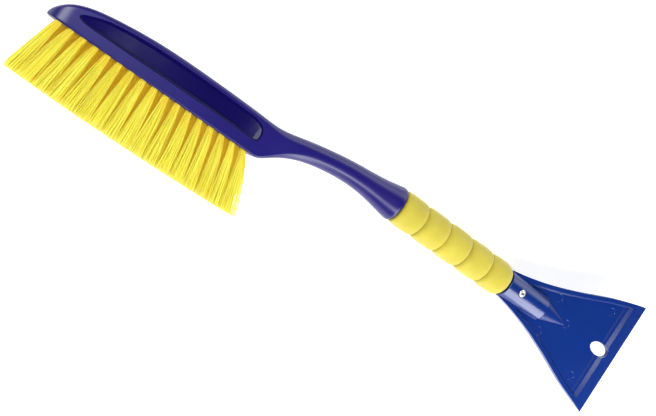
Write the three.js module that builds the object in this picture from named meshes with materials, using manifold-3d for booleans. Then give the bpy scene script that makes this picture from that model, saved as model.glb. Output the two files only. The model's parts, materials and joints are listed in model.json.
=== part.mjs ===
// Windshield snow brush and ice scraper, lying on its side.
//
// The design frame of the tool: X runs along the handle from the brush to the blade, with X = 0
// where the neck's collar meets the foam grip; +Y is the back of the brush, away from the bristles;
// +Z is up, out of the flat of the blade. Y = 0, Z = 0 is the axis of the handle. Millimetres.
// At the end the whole tool is shifted so that its origin is the centre of its footprint.

import * as THREE from 'three';
import { mergeVertices } from 'three/addons/utils/BufferGeometryUtils.js';
import Module from 'manifold-3d';

const wasm = await Module();
wasm.setup();

// ---------------------------------------------------------------- driving dimensions

const GAP = 0.3; // free space between neighbouring pieces

// Brush body: the block that carries the bristles, the neck and the handle stem
const BLOCK_HALF_WIDTH = 15;
const BLOCK_BOTTOM_Y = -35.2;
const BODY_STEPS = 48; // sections along the body
const CORNER_STEPS = 4; // segments in each rounded corner of a section
const STEM_RADIUS = 9.8;
const STEM_END_X = 162.5;
const STEM_BORE_RADIUS = 6.8;
const STEM_BORE_START_X = 8;

// Side recesses of the block
const RECESS_DEPTH = 3.6;

// Tufts of bristle: three staggered rows
const TUFT_LENGTH = 46.3; // from the block's face to the tips
const TUFT_FIRST_X = -286;
const TUFT_PITCH = 9.75;
const TUFT_TIP_PITCH = 11.22;
const TUFT_TIP_FIRST_X = -294.6;
const TUFTS_IN_OUTER_ROW = 17;
const ROW_SPACING = 7.5;
const ROW_TIP_SPACING = 9.4;
const TUFT_HOLE_RADIUS = 2.9;
const TUFT_HOLE_DEPTH = 9;
const TUFT_TIP_RADIUS = 5.1;
const TUFT_SIDES = 8;

// Foam grip
const GRIP_START_X = 0.6;
const GRIP_LENGTH = 120;
const GRIP_LOBES = 5;
const GRIP_RADIUS = 15;
const GRIP_GROOVE_RADIUS = 13;
const GRIP_END_RADIUS = 11.8;

// Scraper: socket and blade plate
const SOCKET_START_X = 121.2;
const SOCKET_END_X = 165;
const SOCKET_RADIUS = 12.5;
const SOCKET_END_RADIUS = 12.1;
const FAIRING_LENGTH = 26; // the low roof in front of the socket
const FAIRING_HALF_WIDTH = 10.5;
const FAIRING_RIDGE_Z = 8.5;
const PLATE_TILT = THREE.MathUtils.degToRad(4);
const PLATE_EDGE_X = 252.8;
const PLATE_EDGE_Z = 7.4; // underside of the plate at the cutting edge
const PLATE_RIM_HEIGHT = 5.6;
const PLATE_PANEL_HEIGHT = 3.2;
const RIM_WIDTH = 3.7;
const PANEL_BACK_MARGIN = 22; // the panel stops this far short of the plate's narrow end
const BEVEL_LENGTH = 13;
const EDGE_THICKNESS = 0.8;
const RIDGE_WIDTH = 2.5;
const HANG_HOLE_X = 232.9;
const HANG_HOLE_HALF_LENGTH = 9.6;
const HANG_HOLE_HALF_WIDTH = 5.8;

// Blind rivet through the socket and the stem
const RIVET_X = 135.2;
const RIVET_SEAT_Z = 11.6;
const RIVET_HEAD_RADIUS = 3.1;
const RIVET_HEAD_HEIGHT = 1.1;
const RIVET_SHANK_RADIUS = 2;
const RIVET_BORE_RADIUS = 1.1;
const RIVET_BULGE_RADIUS = 2.7;
const RIVET_TAIL_Z = 3.4;
const MANDREL_RADIUS = 0.8;

// ---------------------------------------------------------------- materials

const plastic = (color) => new THREE.MeshStandardMaterial({ color, roughness: 0.38, metalness: 0 });
const BODY_FINISH = plastic(0x30267d);
const SCRAPER_FINISH = plastic(0x12308f);
const BRISTLE_FINISH = new THREE.MeshStandardMaterial({ color: 0xf0e23c, roughness: 0.5, metalness: 0 });
const FOAM_FINISH = new THREE.MeshStandardMaterial({ color: 0xeed94b, roughness: 0.95, metalness: 0 });
const RIVET_FINISH = new THREE.MeshStandardMaterial({ color: 0xd8d8da, roughness: 0.3, metalness: 1 });
const MANDREL_FINISH = new THREE.MeshStandardMaterial({ color: 0x8c8c90, roughness: 0.4, metalness: 1 });

// ---------------------------------------------------------------- solids

// A closed three.js geometry as a solid that can be cut and joined.
function solid(geometry) {
  const bare = geometry.index ? geometry.toNonIndexed() : geometry.clone();
  bare.deleteAttribute('normal');
  bare.deleteAttribute('uv');
  const merged = mergeVertices(bare, 1e-4);
  const vertProperties = new Float32Array(merged.attributes.position.array);
  const triVerts = new Uint32Array(merged.index.array);
  return new wasm.Manifold(new wasm.Mesh({ numProp: 3, vertProperties, triVerts }));
}

function geometryOf(shape) {
  const mesh = shape.getMesh();
  const geometry = new THREE.BufferGeometry();
  geometry.setAttribute('position', new THREE.BufferAttribute(mesh.vertProperties, 3));
  geometry.setIndex(new THREE.BufferAttribute(mesh.triVerts, 1));
  geometry.computeVertexNormals();
  return geometry;
}

function node(name, geometry, material) {
  const mesh = new THREE.Mesh(geometry, material);
  mesh.name = name;
  return mesh;
}

// A flat outline in X and Y, raised from one height to another.
function prism(shape, bottomZ, topZ, curveSegments = 8) {
  const geometry = new THREE.ExtrudeGeometry(shape, {
    depth: topZ - bottomZ,
    bevelEnabled: false,
    curveSegments,
  });
  return geometry.translate(0, 0, bottomZ);
}

// A round bar or cone along X.
function barAlongX(startX, endX, startRadius, endRadius, segments) {
  const length = endX - startX;
  const geometry = new THREE.CylinderGeometry(startRadius, endRadius, length, segments);
  return geometry.rotateZ(Math.PI / 2).translate(startX + length / 2, 0, 0);
}

// A round bar along Z.
function barAlongZ(x, bottomZ, topZ, radius, segments) {
  const geometry = new THREE.CylinderGeometry(radius, radius, topZ - bottomZ, segments);
  return geometry.rotateX(Math.PI / 2).translate(x, 0, (bottomZ + topZ) / 2);
}

// A skin over rings of points that all have the same count, closed by a fan at each end. Each ring
// turns left-handed about the way from the first ring to the last.
function skin(rings) {
  const count = rings[0].length;
  const points = rings.flat();
  const index = [];
  for (let r = 0; r + 1 < rings.length; r += 1) {
    for (let i = 0; i < count; i += 1) {
      const a = r * count + i;
      const b = r * count + ((i + 1) % count);
      index.push(a, b + count, b, a, a + count, b + count);
    }
  }
  const last = (rings.length - 1) * count;
  for (let i = 1; i + 1 < count; i += 1) {
    index.push(0, i, i + 1);
    index.push(last, last + i + 1, last + i);
  }
  const geometry = new THREE.BufferGeometry().setFromPoints(points);
  geometry.setIndex(index);
  return geometry;
}

// ---------------------------------------------------------------- brush body

// Sections of the body along X: top line, bottom line, half width, upper and lower corner radius.
const BODY_SECTIONS = [
  [-296.2, -33.6, BLOCK_BOTTOM_Y + 0.8, 2.6, 0.4, 0.4],
  [-295, -30.4, BLOCK_BOTTOM_Y, 6.2, 1.2, 0.8],
  [-292, -26.1, BLOCK_BOTTOM_Y, 9.8, 2.2, 1.2],
  [-287, -21.3, BLOCK_BOTTOM_Y, 13.0, 3.2, 1.6],
  [-280.4, -17.6, BLOCK_BOTTOM_Y, 14.8, 3.2, 1.6],
  [-270, -13.9, BLOCK_BOTTOM_Y, BLOCK_HALF_WIDTH, 3.2, 1.6],
  [-250, -10.2, BLOCK_BOTTOM_Y, BLOCK_HALF_WIDTH, 3.2, 1.6],
  [-225, -7.1, BLOCK_BOTTOM_Y, BLOCK_HALF_WIDTH, 3.2, 1.6],
  [-175, -5.7, BLOCK_BOTTOM_Y, BLOCK_HALF_WIDTH, 3.2, 1.6],
  [-140, -6, BLOCK_BOTTOM_Y, BLOCK_HALF_WIDTH, 3.2, 1.6],
  [-124, -6.4, BLOCK_BOTTOM_Y, BLOCK_HALF_WIDTH, 3.8, 1.6],
  [-117, -6.1, -33.2, 14.6, 5.6, 3],
  [-108, -4.7, -27, 13.4, 6.6, 5],
  [-98, -2.1, -21, 11.8, 7.4, 7],
  [-84, 1.5, -15.8, 10.8, 8, 7.6],
  [-66, 5.1, -11.8, 10.2, 8, 8],
  [-48, 8, -9.9, 10, 8.6, 8.6],
  [-30, 9.9, -10.5, 10.6, 9.9, 9.9],
  [-16, 11.8, -12.7, 12.4, 12, 12],
  [-5, 14.4, -14.8, 14.6, 14.6, 14.6],
  [-1.2, 15, -15, 15, 15, 15],
  [0, 14.3, -14.3, 14.3, 14.3, 14.3],
];

// A rounded rectangle in the YZ plane, the same number of points whatever its radii.
function bodyRing(x, top, bottom, halfWidth, topRadius, bottomRadius) {
  const limit = Math.min(halfWidth, (top - bottom) / 2);
  const upper = Math.min(topRadius, limit);
  const lower = Math.min(bottomRadius, limit);
  const corners = [
    [halfWidth - upper, top - upper, upper, 0],
    [-halfWidth + upper, top - upper, upper, 1],
    [-halfWidth + lower, bottom + lower, lower, 2],
    [halfWidth - lower, bottom + lower, lower, 3],
  ];
  const ring = [];
  for (const [z, y, radius, quarter] of corners) {
    for (let i = 0; i <= CORNER_STEPS; i += 1) {
      const angle = (Math.PI / 2) * (quarter + i / CORNER_STEPS);
      // a hair of flat between corners keeps every point of a round section apart
      const flatZ = 0.01 * Math.sign(z || Math.cos(angle));
      ring.push(new THREE.Vector3(x, y + radius * Math.sin(angle), z + flatZ + radius * Math.cos(angle)));
    }
  }
  return ring;
}

function bodyShell() {
  const outline = new THREE.CatmullRomCurve3(
    BODY_SECTIONS.map(([x, top, bottom]) => new THREE.Vector3(x, top, bottom)), false, 'catmullrom');
  const width = new THREE.CatmullRomCurve3(
    BODY_SECTIONS.map(([, , , half, upper, lower]) => new THREE.Vector3(half, upper, lower)),
    false, 'catmullrom');
  const rings = [];
  for (let i = 0; i <= BODY_STEPS; i += 1) {
    const t = i / BODY_STEPS;
    const line = outline.getPoint(t);
    const size = width.getPoint(t);
    const half = Math.min(size.x, BLOCK_HALF_WIDTH);
    const floor = Math.max(line.z, BLOCK_BOTTOM_Y);
    rings.push(bodyRing(line.x, line.y, floor, half, size.y, size.z));
  }
  return solid(skin(rings));
}

// Teardrop outline of the recess on each side of the block.
function recessOutline() {
  const shape = new THREE.Shape();
  shape.moveTo(-277, -23.6);
  shape.quadraticCurveTo(-274, -20, -261, -16.7);
  shape.quadraticCurveTo(-240, -11, -201, -10.7);
  shape.lineTo(-139, -10.6);
  shape.quadraticCurveTo(-126, -10.8, -126, -21.4);
  shape.quadraticCurveTo(-126, -25.6, -133, -25.6);
  shape.lineTo(-267, -27.2);
  shape.quadraticCurveTo(-275, -27, -277, -23.6);
  return shape;
}

// Root and tip of every tuft, row by row.
function tuftPlaces() {
  const places = [];
  for (const row of [1, 0, -1]) {
    const stagger = row === 0 ? 0.5 : 0;
    const count = row === 0 ? TUFTS_IN_OUTER_ROW - 1 : TUFTS_IN_OUTER_ROW;
    for (let i = 0; i < count; i += 1) {
      const along = i + stagger;
      places.push({
        row: 2 - row,
        number: i + 1,
        root: new THREE.Vector2(TUFT_FIRST_X + along * TUFT_PITCH, row * ROW_SPACING),
        tip: new THREE.Vector2(TUFT_TIP_FIRST_X + along * TUFT_TIP_PITCH, row * ROW_TIP_SPACING),
      });
    }
  }
  return places;
}

function tuftRing(y, centre, radius) {
  const ring = [];
  for (let i = 0; i < TUFT_SIDES; i += 1) {
    const angle = (2 * Math.PI * (i + 0.5)) / TUFT_SIDES;
    ring.push(new THREE.Vector3(centre.x - radius * Math.cos(angle), y, centre.y + radius * Math.sin(angle)));
  }
  return ring;
}

function tuftHole({ root }) {
  const rings = [BLOCK_BOTTOM_Y + TUFT_HOLE_DEPTH, BLOCK_BOTTOM_Y - 2]
    .map((y) => tuftRing(y, root, TUFT_HOLE_RADIUS));
  return solid(skin(rings));
}

function brushBody() {
  let body = bodyShell();
  body = body.add(solid(barAlongX(-4, STEM_END_X, STEM_RADIUS, STEM_RADIUS, 32)));
  body = body.subtract(solid(
    barAlongX(STEM_BORE_START_X, STEM_END_X + 1, STEM_BORE_RADIUS, STEM_BORE_RADIUS, 24)));
  const outline = recessOutline();
  const floor = BLOCK_HALF_WIDTH - RECESS_DEPTH;
  const reach = BLOCK_HALF_WIDTH + 2;
  body = body.subtract(solid(prism(outline, floor, reach)));
  body = body.subtract(solid(prism(outline, -reach, -floor)));
  for (const place of tuftPlaces()) {
    body = body.subtract(tuftHole(place));
  }
  body = body.subtract(solid(
    barAlongZ(RIVET_X, 0, STEM_RADIUS + 2, RIVET_SHANK_RADIUS + GAP, 16)));
  return node('brush_body', geometryOf(body), BODY_FINISH);
}

// ---------------------------------------------------------------- tufts

function tuft(place) {
  const { row, number, root, tip } = place;
  const top = BLOCK_BOTTOM_Y + TUFT_HOLE_DEPTH - GAP;
  const mouth = BLOCK_BOTTOM_Y - 0.5;
  const end = BLOCK_BOTTOM_Y - TUFT_LENGTH;
  const rootRadius = TUFT_HOLE_RADIUS - GAP;
  const rings = [
    tuftRing(top, root, rootRadius),
    tuftRing(mouth, root, rootRadius),
    tuftRing(end, tip, TUFT_TIP_RADIUS),
  ];
  const label = String(number).padStart(2, '0');
  return node(`tuft_row${row}_${label}`, skin(rings), BRISTLE_FINISH);
}

// ---------------------------------------------------------------- foam grip

// Outline of the sleeve: crowned lobes with a groove between each two, and rounded ends.
function foamGrip() {
  const bore = STEM_RADIUS + GAP;
  const lobe = GRIP_LENGTH / GRIP_LOBES;
  const stepsPerLobe = 8;
  const profile = [new THREE.Vector2(bore, 0)];
  for (let i = 0; i <= GRIP_LOBES * stepsPerLobe; i += 1) {
    const x = (i / stepsPerLobe) * lobe;
    const isEnd = i === 0 || i === GRIP_LOBES * stepsPerLobe;
    const low = isEnd ? GRIP_END_RADIUS : GRIP_GROOVE_RADIUS;
    const across = ((i % stepsPerLobe) / stepsPerLobe) * 2 - 1;
    const crown = (1 - Math.abs(across) ** 6) ** 0.5;
    profile.push(new THREE.Vector2(low + (GRIP_RADIUS - low) * crown, x));
  }
  profile.push(new THREE.Vector2(bore, GRIP_LENGTH));
  profile.push(profile[0].clone());
  const sleeve = new THREE.LatheGeometry(profile, 32);
  sleeve.rotateZ(-Math.PI / 2).translate(GRIP_START_X, 0, 0);
  return node('foam_grip', geometryOf(solid(sleeve)), FOAM_FINISH);
}

// ---------------------------------------------------------------- scraper

// Half widths of the plate at distances back from the cutting edge.
const PLATE_HALF_WIDTHS = [
  [0, 55.5],
  [8, 53.4],
  [17.6, 50.4],
  [36.6, 43.9],
  [55.5, 35.8],
  [74.4, 28.2],
  [93.4, 21.6],
  [112.5, 16.4],
  [131.3, 12.6],
];

// The plate's outline, narrowed all round by an inset; front is the distance from the cutting edge.
function plateOutline(inset, front, back) {
  const side = new THREE.SplineCurve(
    PLATE_HALF_WIDTHS.map(([distance, half]) => new THREE.Vector2(-distance, half - inset)));
  const upper = side.getPoints(20).filter((point) => point.x <= -front && point.x >= -back);
  const lower = upper.map((point) => new THREE.Vector2(point.x, -point.y)).reverse();
  return new THREE.Shape([...upper, ...lower]);
}

// The blade is drawn flat with its cutting edge at X = 0 and its underside at Z = 0.
function bladePlate() {
  const far = PLATE_HALF_WIDTHS.at(-1)[0];
  let plate = solid(prism(plateOutline(0, 0, far), 0, PLATE_RIM_HEIGHT));
  const pocketFront = BEVEL_LENGTH + RIDGE_WIDTH;
  const pocket = plateOutline(RIM_WIDTH, pocketFront, far - PANEL_BACK_MARGIN);
  plate = plate.subtract(solid(prism(pocket, PLATE_PANEL_HEIGHT, PLATE_RIM_HEIGHT + 1)));
  const bevel = new THREE.Shape([
    new THREE.Vector2(1, EDGE_THICKNESS - 0.5),
    new THREE.Vector2(1, PLATE_RIM_HEIGHT + 1),
    new THREE.Vector2(-BEVEL_LENGTH, PLATE_RIM_HEIGHT + 1),
    new THREE.Vector2(-BEVEL_LENGTH, PLATE_RIM_HEIGHT),
    new THREE.Vector2(0, EDGE_THICKNESS),
  ]);
  const wedge = prism(bevel, -60, 60).rotateX(Math.PI / 2);
  plate = plate.subtract(solid(wedge));
  const hole = new THREE.Shape();
  hole.absellipse(HANG_HOLE_X - PLATE_EDGE_X, 0, HANG_HOLE_HALF_LENGTH, HANG_HOLE_HALF_WIDTH,
    0, 2 * Math.PI);
  plate = plate.subtract(solid(prism(hole, -1, PLATE_RIM_HEIGHT + 1, 16)));
  return plate;
}

// The upper face of the pocket at a place along the handle.
function panelZ(x) {
  return PLATE_EDGE_Z + PLATE_PANEL_HEIGHT - (PLATE_EDGE_X - x) * Math.tan(PLATE_TILT);
}

// A low roof that runs out to a point on the panel in front of the socket.
function fairing() {
  const roof = (x, halfWidth, ridgeZ) => [
    new THREE.Vector3(x, -halfWidth, panelZ(x) - 1),
    new THREE.Vector3(x, halfWidth, panelZ(x) - 1),
    new THREE.Vector3(x, 0, ridgeZ),
  ].reverse();
  const startX = SOCKET_END_X - 1;
  const endX = SOCKET_END_X + FAIRING_LENGTH;
  const wide = FAIRING_HALF_WIDTH + 2;
  return solid(skin([
    roof(startX, wide, FAIRING_RIDGE_Z),
    roof(endX, 1, panelZ(endX) + 0.1),
  ]));
}

function scraper() {
  const tilt = new THREE.Matrix4().makeRotationY(-PLATE_TILT);
  tilt.setPosition(PLATE_EDGE_X, 0, PLATE_EDGE_Z);
  let body = solid(geometryOf(bladePlate()).applyMatrix4(tilt));
  body = body.add(solid(
    barAlongX(SOCKET_START_X, SOCKET_END_X, SOCKET_RADIUS, SOCKET_END_RADIUS, 40)));
  body = body.add(fairing());
  const boreRadius = STEM_RADIUS + GAP;
  body = body.subtract(solid(
    barAlongX(SOCKET_START_X - 20, STEM_END_X + GAP, boreRadius, boreRadius, 32)));
  body = body.subtract(solid(
    barAlongZ(RIVET_X, 0, SOCKET_RADIUS + 2, RIVET_SHANK_RADIUS + GAP, 16)));
  body = body.subtract(solid(
    barAlongZ(RIVET_X, RIVET_SEAT_Z, SOCKET_RADIUS + 4, RIVET_HEAD_RADIUS + GAP, 20)));
  return node('scraper', geometryOf(body), SCRAPER_FINISH);
}

// ---------------------------------------------------------------- blind rivet

// Radius and height of the rivet's outline, from the bore at the head, out over the head, down the
// shank and round the bulge that its mandrel has pressed out behind the stem's wall.
function rivetBody() {
  const seat = RIVET_SEAT_Z + GAP;
  const bulgeTop = STEM_BORE_RADIUS - 0.9;
  const profile = [
    [RIVET_BORE_RADIUS, seat + RIVET_HEAD_HEIGHT],
    [RIVET_HEAD_RADIUS * 0.7, seat + RIVET_HEAD_HEIGHT * 0.92],
    [RIVET_HEAD_RADIUS * 0.94, seat + RIVET_HEAD_HEIGHT * 0.55],
    [RIVET_HEAD_RADIUS, seat + 0.2],
    [RIVET_HEAD_RADIUS, seat],
    [RIVET_SHANK_RADIUS, seat],
    [RIVET_SHANK_RADIUS, bulgeTop],
    [RIVET_BULGE_RADIUS, bulgeTop - 0.8],
    [RIVET_BULGE_RADIUS * 0.95, RIVET_TAIL_Z + 0.6],
    [RIVET_SHANK_RADIUS, RIVET_TAIL_Z],
    [RIVET_BORE_RADIUS, RIVET_TAIL_Z],
    [RIVET_BORE_RADIUS, seat + RIVET_HEAD_HEIGHT],
  ].map(([radius, height]) => new THREE.Vector2(radius, height)).reverse();
  const body = new THREE.LatheGeometry(profile, 16).rotateX(Math.PI / 2).translate(RIVET_X, 0, 0);
  return node('rivet_body', geometryOf(solid(body)), RIVET_FINISH);
}

// The rest of the mandrel: its stem in the rivet's bore and its head below the tail.
function rivetMandrel() {
  const headTop = RIVET_TAIL_Z - GAP;
  const profile = [
    [0, RIVET_SEAT_Z + GAP + RIVET_HEAD_HEIGHT - 0.5],
    [MANDREL_RADIUS, RIVET_SEAT_Z + GAP + RIVET_HEAD_HEIGHT - 0.7],
    [MANDREL_RADIUS, headTop],
    [RIVET_SHANK_RADIUS * 0.9, headTop - 0.3],
    [RIVET_SHANK_RADIUS * 0.8, headTop - 1.4],
    [0, headTop - 1.8],
  ].map(([radius, height]) => new THREE.Vector2(radius, height)).reverse();
  const stem = new THREE.LatheGeometry(profile, 12).rotateX(Math.PI / 2).translate(RIVET_X, 0, 0);
  return node('rivet_mandrel', geometryOf(solid(stem)), MANDREL_FINISH);
}

// ---------------------------------------------------------------- assembly

const tool = new THREE.Group();
tool.add(brushBody());
for (const place of tuftPlaces()) {
  tool.add(tuft(place));
}
tool.add(foamGrip());
tool.add(scraper());
tool.add(rivetBody());
tool.add(rivetMandrel());

// The origin goes to the centre of the footprint, on the surface that the tool lies on.
const box = new THREE.Box3().setFromObject(tool, true);
const centre = box.getCenter(new THREE.Vector3());
tool.position.set(-centre.x, -centre.y, -box.min.z);

const root = new THREE.Group();
root.add(tool);

export default root;
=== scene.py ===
"""Windshield snow brush with ice scraper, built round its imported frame.

The tool lies on its side. In the design frame X runs along the handle from the brush to the blade,
Y points to the back of the brush and Z points up; its origin is on the handle's axis where the
neck's collar meets the foam grip. AXIS is that point in the frame's own coordinates, in metres.
"""

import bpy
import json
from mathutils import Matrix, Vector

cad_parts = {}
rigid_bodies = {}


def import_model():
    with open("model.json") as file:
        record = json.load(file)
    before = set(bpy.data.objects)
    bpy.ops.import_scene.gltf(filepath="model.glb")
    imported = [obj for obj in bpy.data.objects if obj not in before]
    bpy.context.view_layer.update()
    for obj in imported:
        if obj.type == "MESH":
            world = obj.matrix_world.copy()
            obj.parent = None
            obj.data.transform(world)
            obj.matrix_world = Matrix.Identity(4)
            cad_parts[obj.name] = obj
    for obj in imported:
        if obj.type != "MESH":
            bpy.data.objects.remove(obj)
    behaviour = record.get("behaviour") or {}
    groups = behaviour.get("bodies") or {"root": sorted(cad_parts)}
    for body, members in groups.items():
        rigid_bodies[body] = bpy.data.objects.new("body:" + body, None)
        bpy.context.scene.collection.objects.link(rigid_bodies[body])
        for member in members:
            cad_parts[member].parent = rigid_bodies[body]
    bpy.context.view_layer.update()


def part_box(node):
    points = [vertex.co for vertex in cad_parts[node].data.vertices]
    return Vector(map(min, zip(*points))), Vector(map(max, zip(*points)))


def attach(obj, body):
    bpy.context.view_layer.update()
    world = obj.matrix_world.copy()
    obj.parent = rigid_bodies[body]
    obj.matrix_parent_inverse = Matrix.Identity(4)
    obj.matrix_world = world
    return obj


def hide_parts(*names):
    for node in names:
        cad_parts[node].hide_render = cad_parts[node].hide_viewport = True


bl_info = {
    "name": "Snow Brush and Ice Scraper",
    "version": (1, 0, 0),
    "blender": (4, 5, 0),
    "location": "3D View > Sidebar > Snow Brush",
    "description": "Models a snow brush with a foam grip and a riveted scraper blade, piece by piece",
    "category": "Add Mesh",
}

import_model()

import json
import math
import random

import bmesh
import bpy
from bpy.props import FloatProperty, FloatVectorProperty, IntProperty, PointerProperty
from mathutils import Matrix, Vector

MM = 0.001
BODY = "root"
GRIP_GAP = 0.6 * MM  # between the collar and the foam
GRIP_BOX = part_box("foam_grip")
AXIS = Vector((
    GRIP_BOX[0][0] - GRIP_GAP,
    (GRIP_BOX[0][1] + GRIP_BOX[1][1]) / 2,
    (GRIP_BOX[0][2] + GRIP_BOX[1][2]) / 2,
))
RIVET_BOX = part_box("rivet_body")
SCRAPER_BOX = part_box("scraper")
BODY_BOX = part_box("brush_body")


# ---------------------------------------------------------------- small helpers


def at(x, y, z=0.0):
    """A place in the design frame, given in millimetres, as a point of the scene."""
    return AXIS + Vector((x, y, z)) * MM


def start_mesh(name, operator, **options):
    """Adds a primitive, names it and goes into edit mode with all of it selected."""
    if bpy.context.mode != "OBJECT":
        bpy.ops.object.mode_set(mode="OBJECT")
    bpy.ops.object.select_all(action="DESELECT")
    operator(**options)
    made = bpy.context.object
    made.name = name
    made.data.name = name
    bpy.ops.object.transform_apply(location=True, rotation=True, scale=True)
    bpy.ops.object.mode_set(mode="EDIT")
    bpy.ops.mesh.select_mode(type="VERT")
    bpy.ops.mesh.select_all(action="SELECT")
    return made


def open_for_editing(piece):
    bpy.ops.object.mode_set(mode="OBJECT")
    bpy.ops.object.select_all(action="DESELECT")
    bpy.context.view_layer.objects.active = piece
    piece.select_set(True)
    bpy.ops.object.mode_set(mode="EDIT")
    bpy.ops.mesh.select_all(action="DESELECT")


def close_editing():
    bpy.ops.object.mode_set(mode="OBJECT")


def pick(piece, kind, test):
    """Selects exactly the vertices, edges or faces for which test is true, and counts them."""
    bpy.ops.mesh.select_mode(type=kind)
    bpy.ops.mesh.select_all(action="DESELECT")
    shape = bmesh.from_edit_mesh(piece.data)
    shape.normal_update()
    elements = {"VERT": shape.verts, "EDGE": shape.edges, "FACE": shape.faces}[kind]
    found = [element for element in elements if test(element)]
    for element in found:
        element.select_set(True)
    shape.select_flush_mode()
    bmesh.update_edit_mesh(piece.data)
    return len(found)


def middle(element):
    return sum((vertex.co for vertex in element.verts), Vector()) / len(element.verts)


def turn(edge):
    """The angle between an edge's two faces, or zero on an open edge."""
    return edge.calc_face_angle(0.0) if len(edge.link_faces) == 2 else 0.0


def apply_modifier(piece, kind, **settings):
    modifier = piece.modifiers.new(kind.title(), kind)
    for key, value in settings.items():
        setattr(modifier, key, value)
    bpy.ops.object.select_all(action="DESELECT")
    bpy.context.view_layer.objects.active = piece
    piece.select_set(True)
    bpy.ops.object.modifier_apply(modifier=modifier.name)


def cut(piece, cutter, operation="DIFFERENCE"):
    """Cuts or joins piece with cutter, which is used up."""
    close_editing()
    apply_modifier(piece, "BOOLEAN", object=cutter, operation=operation, solver="MANIFOLD")
    bpy.data.objects.remove(cutter, do_unlink=True)


def tidy_mesh(piece, distance=0.002 * MM):
    open_for_editing(piece)
    bpy.ops.mesh.select_all(action="SELECT")
    bpy.ops.mesh.remove_doubles(threshold=distance)
    bpy.ops.mesh.normals_make_consistent(inside=False)
    close_editing()


def smooth(piece, degrees=32):
    bpy.ops.object.select_all(action="DESELECT")
    bpy.context.view_layer.objects.active = piece
    piece.select_set(True)
    bpy.ops.object.shade_smooth_by_angle(angle=math.radians(degrees))
    apply_modifier(piece, "WEIGHTED_NORMAL", mode="FACE_AREA", weight=50, keep_sharp=True)


def give(piece, material, slot, *nodes):
    """Finishes a piece: its material, its body and the CAD nodes that it stands for. The slot
    argument is not used.
    """
    piece.data.materials.clear()
    piece.data.materials.append(material)
    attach(piece, BODY)
    if nodes:
        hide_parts(*nodes)
    return piece


def bar(name, start, end, start_radius, end_radius, sides):
    """A round bar or cone between two points, left in object mode."""
    along = end - start
    close = start_mesh(
        name, bpy.ops.mesh.primitive_cone_add, vertices=sides, radius1=start_radius,
        radius2=end_radius, depth=along.length, location=(start + end) / 2,
        rotation=along.to_track_quat("Z", "Y").to_euler())
    close_editing()
    return close


def lathe(name, profile, centre, axis, steps):
    """Turns a profile of (distance along the axis, radius) pairs about an axis through centre."""
    axis = axis.normalized()
    side = Vector((0, 1, 0)) if abs(axis.y) < 0.5 else Vector((1, 0, 0))
    points = [centre + axis * along + side * radius for along, radius in profile]
    made = start_mesh(name, bpy.ops.mesh.primitive_plane_add, size=MM, location=points[0])
    bpy.ops.mesh.merge(type="CENTER")
    for before, after in zip(points, points[1:]):
        bpy.ops.mesh.extrude_region_move(TRANSFORM_OT_translate={"value": after - before})
    bpy.ops.mesh.select_all(action="SELECT")
    bpy.ops.mesh.spin(steps=steps, angle=2 * math.pi, center=centre, axis=axis)
    close_editing()
    tidy_mesh(made)
    return made


# ---------------------------------------------------------------- sizes and colours


class BrushSizes(bpy.types.PropertyGroup):
    block_half_width: FloatProperty(
        name="Block Half Width", description="Half the thickness of the bristle block",
        default=15 * MM, unit="LENGTH")
    recess_depth: FloatProperty(
        name="Recess Depth", description="Depth of the long recess in each side of the block",
        default=4.2 * MM, unit="LENGTH")
    recess_wall: FloatProperty(
        name="Recess Wall", description="Width of the sloping wall round the recess",
        default=2.3 * MM, unit="LENGTH")
    hole_radius: FloatProperty(
        name="Tuft Hole Radius", description="Radius of each drilled tuft hole",
        default=2.9 * MM, unit="LENGTH")
    hole_depth: FloatProperty(
        name="Tuft Hole Depth", description="Depth of each drilled tuft hole",
        default=9 * MM, unit="LENGTH")


class TuftSizes(bpy.types.PropertyGroup):
    filaments: IntProperty(
        name="Filaments", description="Filament ends in one tuft", default=84, min=10)
    filament_radius: FloatProperty(
        name="Filament Radius", description="Half the thickness of one filament",
        default=0.24 * MM, unit="LENGTH")
    length_spread: FloatProperty(
        name="Length Spread", description="How much the filaments differ in length",
        default=1.5 * MM, unit="LENGTH")
    seed: IntProperty(name="Seed", description="Start of the random spread", default=7)


class GripSizes(bpy.types.PropertyGroup):
    lobes: IntProperty(name="Lobes", description="Swellings along the foam grip", default=5)
    groove_depth: FloatProperty(
        name="Groove Depth", description="Depth of the groove between two lobes",
        default=2.5 * MM, unit="LENGTH")
    bore_radius: FloatProperty(
        name="Bore Radius", description="Radius of the hole that the handle stem fills",
        default=10.1 * MM, unit="LENGTH")


class ScraperSizes(bpy.types.PropertyGroup):
    tilt: FloatProperty(
        name="Blade Tilt", description="Angle of the blade to the handle",
        default=math.radians(4), subtype="ANGLE", unit="ROTATION")
    rim_height: FloatProperty(
        name="Rim Height", description="Thickness of the plate at its raised rim",
        default=5.6 * MM, unit="LENGTH")
    panel_height: FloatProperty(
        name="Panel Height", description="Thickness of the plate in its sunk panel",
        default=3.2 * MM, unit="LENGTH")
    rim_width: FloatProperty(
        name="Rim Width", description="Width of the raised rim along each side",
        default=3.7 * MM, unit="LENGTH")
    bevel_length: FloatProperty(
        name="Bevel Length", description="Length of the sharpened front slope",
        default=13 * MM, unit="LENGTH")
    edge_thickness: FloatProperty(
        name="Edge Thickness", description="Thickness left at the scraping edge",
        default=0.8 * MM, unit="LENGTH")


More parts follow.
